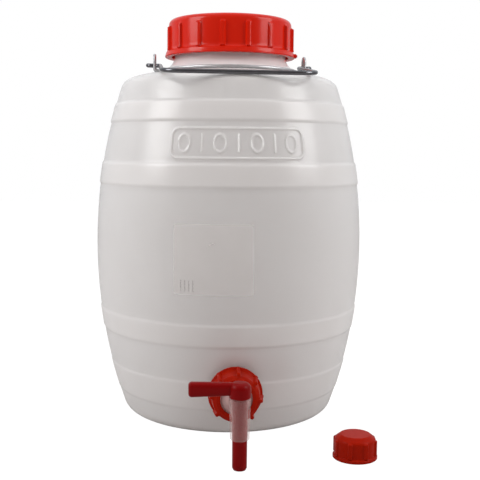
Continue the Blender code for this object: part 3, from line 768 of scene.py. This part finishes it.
def makeBail():
    w = wires
    straight, reach = w["half"] - w["corner"], w["reach"]
    half = [(0, -reach), (straight / 2, -reach)]
    half += arcPoints((straight, -reach + w["corner"]), w["corner"], -90, 0, 12)
    half += [(w["half"], -reach * 0.6), (w["half"], -reach * 0.3)]
    half += arcPoints((w["half"] + w["knee"], -w["knee"]), w["knee"], 180, 90, 7)
    half += arcPoints((w["tailReach"] - w["tailBend"], w["tailBend"]), w["tailBend"], -90, 0, 7)
    half += [(w["tailReach"], w["tail"])]
    path = [(-x, y, 0) for x, y in reversed(half[1:])] + [(x, y, 0) for x, y in half]
    place = (Matrix.Translation((0, 0, w["pivotHeight"])) @ Matrix.Rotation(w["turn"], 4, "Z")
             @ Matrix.Rotation(w["droop"], 4, "X"))
    wirePiece("bailHandle", path, w["bailWire"], False, place, "bail_handle", "bail", bailPaintedDarkFinish)


makeCollar()
makeBail()
print("wire collar and bail made")


# Outlet: gasket, ribbed union nut, frosted tap body and the red plug with its lever.
nutLow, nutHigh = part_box("union_nut")
nut = {
    "back": -nutHigh.y, "front": -nutLow.y, "rim": 0.0296, "skirt": 0.0269, "shoulder": 0.0252,
    "face": 0.0218,
    "faceBore": 0.0172, "bore": 0.0198, "faceThick": 0.0030,
    "ribs": {"ribs": 8.0, "width": 0.0048, "proud": 0.0032, "flank": 0.0012, "low": 0.1535, "high": 0.1746,
             "phase": math.radians(-5.3), "fromRadius": 0.0224},
}
tap = {
    "reach": 0.228, "flangeRadius": 0.0192, "flangeThick": 0.0030, "flangeBack": -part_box("tap_body")[1].y,
    "tube": 0.0086, "tubeBore": 0.0058, "sleeveLow": 0.0325, "sleeveHigh": 0.0745,
    "sleeveRadii": (0.0095, 0.0106),
    "sleeveBore": 0.0080,
}
plug = {
    "top": 0.0905, "hub": 0.0110, "seat": 0.0748, "radius": 0.0076, "bore": 0.0050,
    "tip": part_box("tap_plug")[0].z, "port": 0.0050, "leverLength": 0.051,
    "leverHalfHeights": (0.0062, 0.0075),
    "leverHalfWidths": (0.0050, 0.0056), "leverHeight": 0.0838, "leverRound": 0.0034, "squareness": 3.4,
}


def makeNut():
    d = nut
    back, front = d["back"], d["front"]
    outline = [(d["faceBore"], front - 0.0008), (d["faceBore"] + 0.0008, front),
               (d["face"] - 0.0006, front)]
    outline += [(d["face"], front - 0.0006), (d["shoulder"] - 0.0008, front - 0.0022)]
    outline += arcPoints((d["shoulder"] - 0.0012, front - 0.0038), 0.0012, 60, 0, 5)
    outline += [(d["skirt"], back + 0.0052)]
    outline += bend((d["skirt"], back + 0.0048), (d["skirt"], back + 0.0034),
                    (d["rim"] - 0.0006, back + 0.0030), 5)
    outline += [(d["rim"], back + 0.0024), (d["rim"], back + 0.0005), (d["rim"] - 0.0005, back)]
    outline += [(d["bore"] + 0.0006, back), (d["bore"], back + 0.0006), (d["bore"], front - d["faceThick"]),
                (d["faceBore"], front - d["faceThick"]), (d["faceBore"], front - 0.0008)]
    piece = newObject("unionNut", turnedMesh("unionNut", filled(outline, 0.0009), evenTurns(8 * 40)),
                      finishes["tapRed"])
    runTree(piece, gripRibs, finishes["tapRed"], **d["ribs"])
    settle(piece, toOutlet)
    finishPiece(piece, "barrel", "red_polypropylene", "union_nut")

    low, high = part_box("tap_gasket")
    rings = [(high.x, -low.y - 0.0004), (high.x - 0.0004, -low.y), (0.0144, -low.y),
             (0.0140, -low.y - 0.0004),
             (0.0140, -high.y + 0.0004), (0.0144, -high.y), (high.x - 0.0004, -high.y),
             (high.x, -high.y + 0.0004)]
    gasket = newObject("tapGasket", turnedMesh("tapGasket", rings + rings[:1], evenTurns(72)),
                       finishes["sealRubber"])
    settle(gasket, toOutlet)
    finishPiece(gasket, "barrel", "seal_rubber", "tap_gasket")


def makeTapBody():
    d = tap
    back = d["flangeBack"]
    front = back + d["flangeThick"]
    end = d["reach"] - 0.004
    outline = [(0, end), (d["tube"], end)]
    outline += bend((d["tube"], front + 0.012), (d["tube"], front + 0.0022), (0.0150, front + 0.0016), 8)
    outline += [(0.0156, front + 0.0008), (0.0158, front), (d["flangeRadius"] - 0.0003, front),
                (d["flangeRadius"], front - 0.0003), (d["flangeRadius"], back + 0.0003),
                (d["flangeRadius"] - 0.0003, back), (0, back)]
    body = newObject("tapBody", turnedMesh("tapBody", outline, evenTurns(64)),
                     finishes["frostedPolypropylene"])
    body.data.transform(toOutlet)
    lower, upper = d["sleeveRadii"]
    wallOutline = [(0, d["sleeveHigh"]), (upper - 0.0005, d["sleeveHigh"]),
                   (upper, d["sleeveHigh"] - 0.0005),
                   (lower + 0.0001, d["sleeveLow"] + 0.0012), (lower - 0.0008, d["sleeveLow"]),
                   (0, d["sleeveLow"])]
    upright = Matrix.Translation((0, -d["reach"], 0)) @ Matrix.Rotation(math.pi / 50, 4, "Z")
    sleeve = newObject("sleeveBlank", turnedMesh("sleeveBlank", wallOutline, evenTurns(64)))
    low, high, r = d["sleeveLow"] - 0.01, d["sleeveHigh"] + 0.01, d["sleeveBore"]
    bore = newObject("sleeveBore", turnedMesh("sleeveBore", [(0, high), (r, high), (r, low), (0, low)],
                                              evenTurns(60)))
    r = d["tubeBore"]
    hole = [(0, d["reach"] - 0.001), (r, d["reach"] - 0.001), (r, back - 0.01), (0, back - 0.01)]
    channel = newObject("tapChannel", turnedMesh("tapChannel", hole, evenTurns(44)))
    channel.data.transform(toOutlet)
    for helper in (sleeve, bore):
        helper.data.transform(upright)
    combine(bore, channel, "UNION")
    combine(body, sleeve, "UNION")
    combine(body, bore, "DIFFERENCE")
    finishPiece(body, "barrel", "natural_polypropylene", "tap_body")


def leverMesh():
    # rounded-square sections from the hub to a blunt, rounded tip
    d = plug
    count, power = 44, 2 / d["squareness"]
    stations = [(x, 0.0) for x in np.linspace(0.0, -(d["leverLength"] - d["leverRound"]), 14)]
    for t in np.linspace(0, math.pi / 2, 8)[1:]:
        stations.append((-(d["leverLength"] - d["leverRound"] * (1 - math.sin(t))),
                         d["leverRound"] * (1 - math.cos(t))))
    verts, faces = [], []
    for x, inset in stations:
        share = min(1.0, -x / d["leverLength"])
        halfHeight = np.interp(share, (0, 1), d["leverHalfHeights"]) - inset
        halfWidth = np.interp(share, (0, 1), d["leverHalfWidths"]) - inset
        for t in evenTurns(count):
            c, s = math.cos(t), math.sin(t)
            verts.append((x, halfWidth * math.copysign(abs(c) ** power, c),
                          d["leverHeight"] + halfHeight * math.copysign(abs(s) ** power, s)))
    for i in range(len(stations) - 1):
        for j in range(count):
            k = (j + 1) % count
            faces.append((i * count + j, i * count + k, (i + 1) * count + k, (i + 1) * count + j))
    faces += [tuple(range(count)), tuple(range((len(stations) - 1) * count, len(stations) * count))[::-1]]
    mesh = meshFrom("leverBlank", verts, faces)
    mesh.transform(Matrix.Translation((0, -tap["reach"], 0)))
    return mesh


def makePlug():
    d = plug
    tip, seat, hub, radius = d["tip"], d["seat"], d["hub"], d["radius"]
    blind = outletHeight + 0.007
    outline = [(0, d["top"])] + bend((0.004, d["top"]), (hub, d["top"]), (hub, d["top"] - 0.0075), 12)
    outline += [(hub, seat + 0.0008), (hub - 0.0008, seat), (radius, seat), (radius - 0.0002, tip + 0.0022),
                (radius - 0.0013, tip), (d["bore"] + 0.0003, tip), (d["bore"], tip + 0.0003),
                (d["bore"], blind), (0, blind)]
    piece = newObject("tapPlug", turnedMesh("tapPlug", filled(outline, 0.004), evenTurns(64)),
                      finishes["plugRed"])
    piece.data.transform(Matrix.Translation((0, -tap["reach"], 0)))
    r = d["port"]
    port = newObject("plugPort", turnedMesh("plugPort", [(0, 0.012), (r, 0.012), (r, 0), (0, 0)],
                                            evenTurns(32)))
    port.data.transform(Matrix.Translation((0, -tap["reach"], outletHeight)) @ Matrix.Rotation(math.pi / 2,
                                                                                               4, "Y"))
    combine(piece, newObject("leverBlank", leverMesh()), "UNION")
    combine(piece, port, "DIFFERENCE")
    finishPiece(piece, "plug", "red_polypropylene", "tap_plug")


makeNut()
makeTapBody()
makePlug()
print("outlet and tap made")


# Spare cap: it stands on the floor beside the barrel with its seal inside.
capLow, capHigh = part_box("spare_cap")
cap = {
    "height": capHigh.z, "radius": 0.0213, "rim": 0.0232, "rimHeight": 0.0032, "bore": 0.0196,
    "crown": 0.0022, "ledge": 0.0188,
    "chamfer": (0.0056, 0.0046),
    "ribs": {"ribs": 8.0, "width": 0.0052, "proud": 0.0017, "flank": 0.0011, "low": 0.0036, "high": 0.0207,
             "phase": math.radians(20), "fromRadius": 0.0204},
}


def makeCap():
    d = cap
    height, radius, rim = d["height"], d["radius"], d["rim"]
    wide, tall = d["chamfer"]
    place = Matrix.Translation(((capLow.x + capHigh.x) / 2, (capLow.y + capHigh.y) / 2, 0))
    outline = [(0, height)] + bend((radius - wide - 0.0012, height), (radius - wide, height),
                                   (radius - wide + 0.0008, height - 0.0007), 5)
    outline += bend((radius - 0.0010, height - tall + 0.0009), (radius - 0.0002, height - tall),
                    (radius, height - tall - 0.0012), 5)
    outline += bend((radius, d["rimHeight"] + 0.0016), (radius, d["rimHeight"] + 0.0003),
                    (rim - 0.0004, d["rimHeight"]), 5)
    ledge, inner = d["ledge"], height - d["crown"]
    outline += [(rim, d["rimHeight"] - 0.0005), (rim, 0.0004), (rim - 0.0004, 0), (d["bore"] + 0.0004, 0),
                (d["bore"], 0.0004), (d["bore"], ledge), (d["bore"] - 0.0031, ledge),
                (d["bore"] - 0.0046, inner),
                (0, inner)]
    piece = newObject("spareCap", turnedMesh("spareCap", filled(outline, 0.0010), evenTurns(8 * 36)),
                      finishes["tapRed"])
    runTree(piece, gripRibs, finishes["tapRed"], **d["ribs"])
    settle(piece, place)
    finishPiece(piece, "cap", "red_polypropylene", "spare_cap")

    low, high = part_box("spare_cap_seal")
    outer = (high.x - low.x) / 2
    ring = [(outer, high.z - 0.0003), (outer, low.z + 0.0003), (outer - 0.0003, low.z), (0.0143, low.z),
            (0.0140, low.z + 0.0003), (0.0140, high.z - 0.0003), (0.0143, high.z), (outer - 0.0003, high.z)]
    seal = newObject("spareCapSeal", turnedMesh("spareCapSeal", ring + ring[:1], evenTurns(72)),
                     finishes["sealRubber"])
    settle(seal, place)
    finishPiece(seal, "cap", "seal_rubber", "spare_cap_seal")
    print("spare cap made")


makeCap()


# Label: a thin film with round corners that lies on the belly.
labelLow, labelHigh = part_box("label")
label = {
    "low": labelLow.z, "high": labelHigh.z, "turn": math.radians(-99), "halfAngle": math.radians(15.5),
    "corner": 0.0030, "above": 0.00022, "thick": 0.00022,
    "ticks": {"start": 0.09, "pitch": 0.052, "duty": 0.20, "count": 4, "low": 0.05, "high": 0.21,
              "ink": 0.55},
}


def makeLabel():
    d = label
    middle, half = (d["low"] + d["high"]) / 2, (d["high"] - d["low"]) / 2
    halfWidth = d["halfAngle"] * barrelBody["belly"]
    ease = half - d["corner"] + d["corner"] * np.sin(np.linspace(0, math.pi / 2, 7))
    rows = np.concatenate([-ease[::-1], np.linspace(-ease[0], ease[0], 26)[1:-1], ease])
    columns = np.linspace(-1, 1, 41)
    verts, uvs, faces = [], [], []
    for v in rows:
        over = max(0.0, abs(v) - (half - d["corner"]))
        width = halfWidth - d["corner"] + math.sqrt(max(0.0, d["corner"] ** 2 - over**2))
        for u in columns:
            angle = d["turn"] + u * width / barrelBody["belly"]
            r = float(sideRadius(middle + v)) + d["above"]
            verts.append((r * math.cos(angle), r * math.sin(angle), middle + v))
            uvs.append((u * width / halfWidth / 2 + 0.5, v / half / 2 + 0.5))
    count = len(columns)
    for i in range(len(rows) - 1):
        for j in range(count - 1):
            faces.append((i * count + j, i * count + j + 1, (i + 1) * count + j + 1, (i + 1) * count + j))
    mesh = bpy.data.meshes.new("labelFilm")
    mesh.from_pydata(verts, [], faces)
    layer = mesh.uv_layers.new(name="UVMap")
    for loop in mesh.loops:
        layer.data[loop.index].uv = uvs[loop.vertex_index]
    film = newObject("labelFilm", mesh, makeFilmFinish(d["ticks"]))
    wall = film.modifiers.new("thickness", "SOLIDIFY")
    wall.thickness = d["thick"]
    wall.offset = 1
    settle(film, sharp=50)
    finishPiece(film, "barrel", "label_film", "label")
    print("label made")


makeLabel()


# Studio: pale floor, two tall soft boxes in front to the left and right, and a pale surround.
studio = {
    "floorSize": 8.0, "floorColor": (0.55, 0.53, 0.52), "floorGlow": 0.90,
    "floorWhite": 1.12,
    "sideAngles": (-69, 66), "sideDistance": 1.25, "sideSize": (0.62, 0.78), "sideHeight": 0.94,
    "sidePower": (9.0, 8.0),
    "topPower": 2.5, "worldFront": 0.38, "worldBack": 0.86, "worldLow": 0.5,
}


def makeFloor():
    material, tree, shader = newMaterial("paleFloor")
    shader.inputs["Base Color"].default_value = (*studio["floorColor"], 1)
    shader.inputs["Roughness"].default_value = 0.9
    shader.inputs["Specular IOR Level"].default_value = 0.0
    glow = addNode(tree, "ShaderNodeEmission", {"Strength": studio["floorWhite"]})
    seen = addNode(tree, "ShaderNodeLightPath").outputs["Is Camera Ray"]
    mixed = addNode(tree, "ShaderNodeMixShader", {0: times(tree, seen, studio["floorGlow"]),
                                                  1: shader.outputs[0], 2: glow.outputs[0]})
    tree.links.new(mixed.outputs[0], tree.nodes["Material Output"].inputs["Surface"])
    half = studio["floorSize"] / 2
    mesh = bpy.data.meshes.new("floor")
    mesh.from_pydata([(-half, -half, -0.0004), (half, -half, -0.0004), (half, half, -0.0004),
                      (-half, half, -0.0004)],
                     [], [(0, 1, 2, 3)])
    floor = newObject("floor", mesh, material)


def makeWorld():
    world = bpy.data.worlds.new("studioSurround")
    world.use_nodes = True
    scene.world = world
    tree = world.node_tree
    tree.nodes.clear()
    direction = addNode(tree, "ShaderNodeTexCoord").outputs["Generated"]
    _, y, z = addNode(tree, "ShaderNodeSeparateXYZ", {"Vector": direction}).outputs
    share = smoothRange(tree, y, -0.95, 0.1)
    level = plus(tree, studio["worldFront"],
                     times(tree, share, studio["worldBack"] - studio["worldFront"]))
    high = times(tree, smoothRange(tree, z, -0.05, 0.5), 1 - studio["worldLow"])
    level = times(tree, level, plus(tree, studio["worldLow"], high))
    seen = addNode(tree, "ShaderNodeLightPath").outputs["Is Camera Ray"]
    strength = plus(tree, times(tree, level, minus(tree, 1.0, seen)), seen)
    tint = mixColor(tree, share, (1.0, 0.90, 0.86, 1), (0.95, 0.97, 1.0, 1))
    color = mixColor(tree, seen, tint, (1, 1, 1, 1))
    background = addNode(tree, "ShaderNodeBackground", {"Color": color, "Strength": strength})
    output = tree.nodes.new("ShaderNodeOutputWorld")
    tree.links.new(background.outputs[0], output.inputs["Surface"])


def addAreaLight(name, place, target, size, power):
    data = bpy.data.lights.new(name, "AREA")
    data.shape = "RECTANGLE"
    data.size, data.size_y = size
    data.energy = power
    light = bpy.data.objects.new(name, data)
    light.location = place
    light.rotation_euler = (Vector(target) - Vector(place)).to_track_quat("-Z", "Y").to_euler()
    scene.collection.objects.link(light)


def makeLights():
    for side, angle, power in zip(("Left", "Right"), studio["sideAngles"], studio["sidePower"]):
        turn = math.radians(angle)
        reach = studio["sideDistance"]
        place = (reach * math.sin(turn), -reach * math.cos(turn), studio["sideHeight"])
        addAreaLight("softBox" + side, place, (0, 0, 0.22), studio["sideSize"], power)
    addAreaLight("topSheet", (0, 0.3, 1.9), (0, 0, 0.2), (1.6, 1.2), studio["topPower"])


camera = {"distance": 1.0404, "height": 0.3185, "swing": math.radians(3.1), "pitch": math.radians(6.13),
          "aim": math.radians(0.77), "roll": math.radians(0.5), "lens": 63.47}


def makeCamera():
    data = bpy.data.cameras.new("camera")
    data.lens = camera["lens"]
    data.sensor_width = 36.0
    data.clip_start = 0.05
    obj = bpy.data.objects.new("camera", data)
    turn = Matrix.Rotation(-(camera["swing"] + camera["aim"]), 4, "Z")
    tilt = Matrix.Rotation(math.pi / 2 - camera["pitch"], 4, "X")
    roll = Matrix.Rotation(camera["roll"], 4, "Z")
    place = Matrix.Translation((-camera["distance"] * math.sin(camera["swing"]),
                                -camera["distance"] * math.cos(camera["swing"]), camera["height"]))
    obj.matrix_world = place @ turn @ tilt @ roll
    scene.collection.objects.link(obj)
    scene.camera = obj


makeFloor()
makeWorld()
makeLights()
makeCamera()
print("studio made")
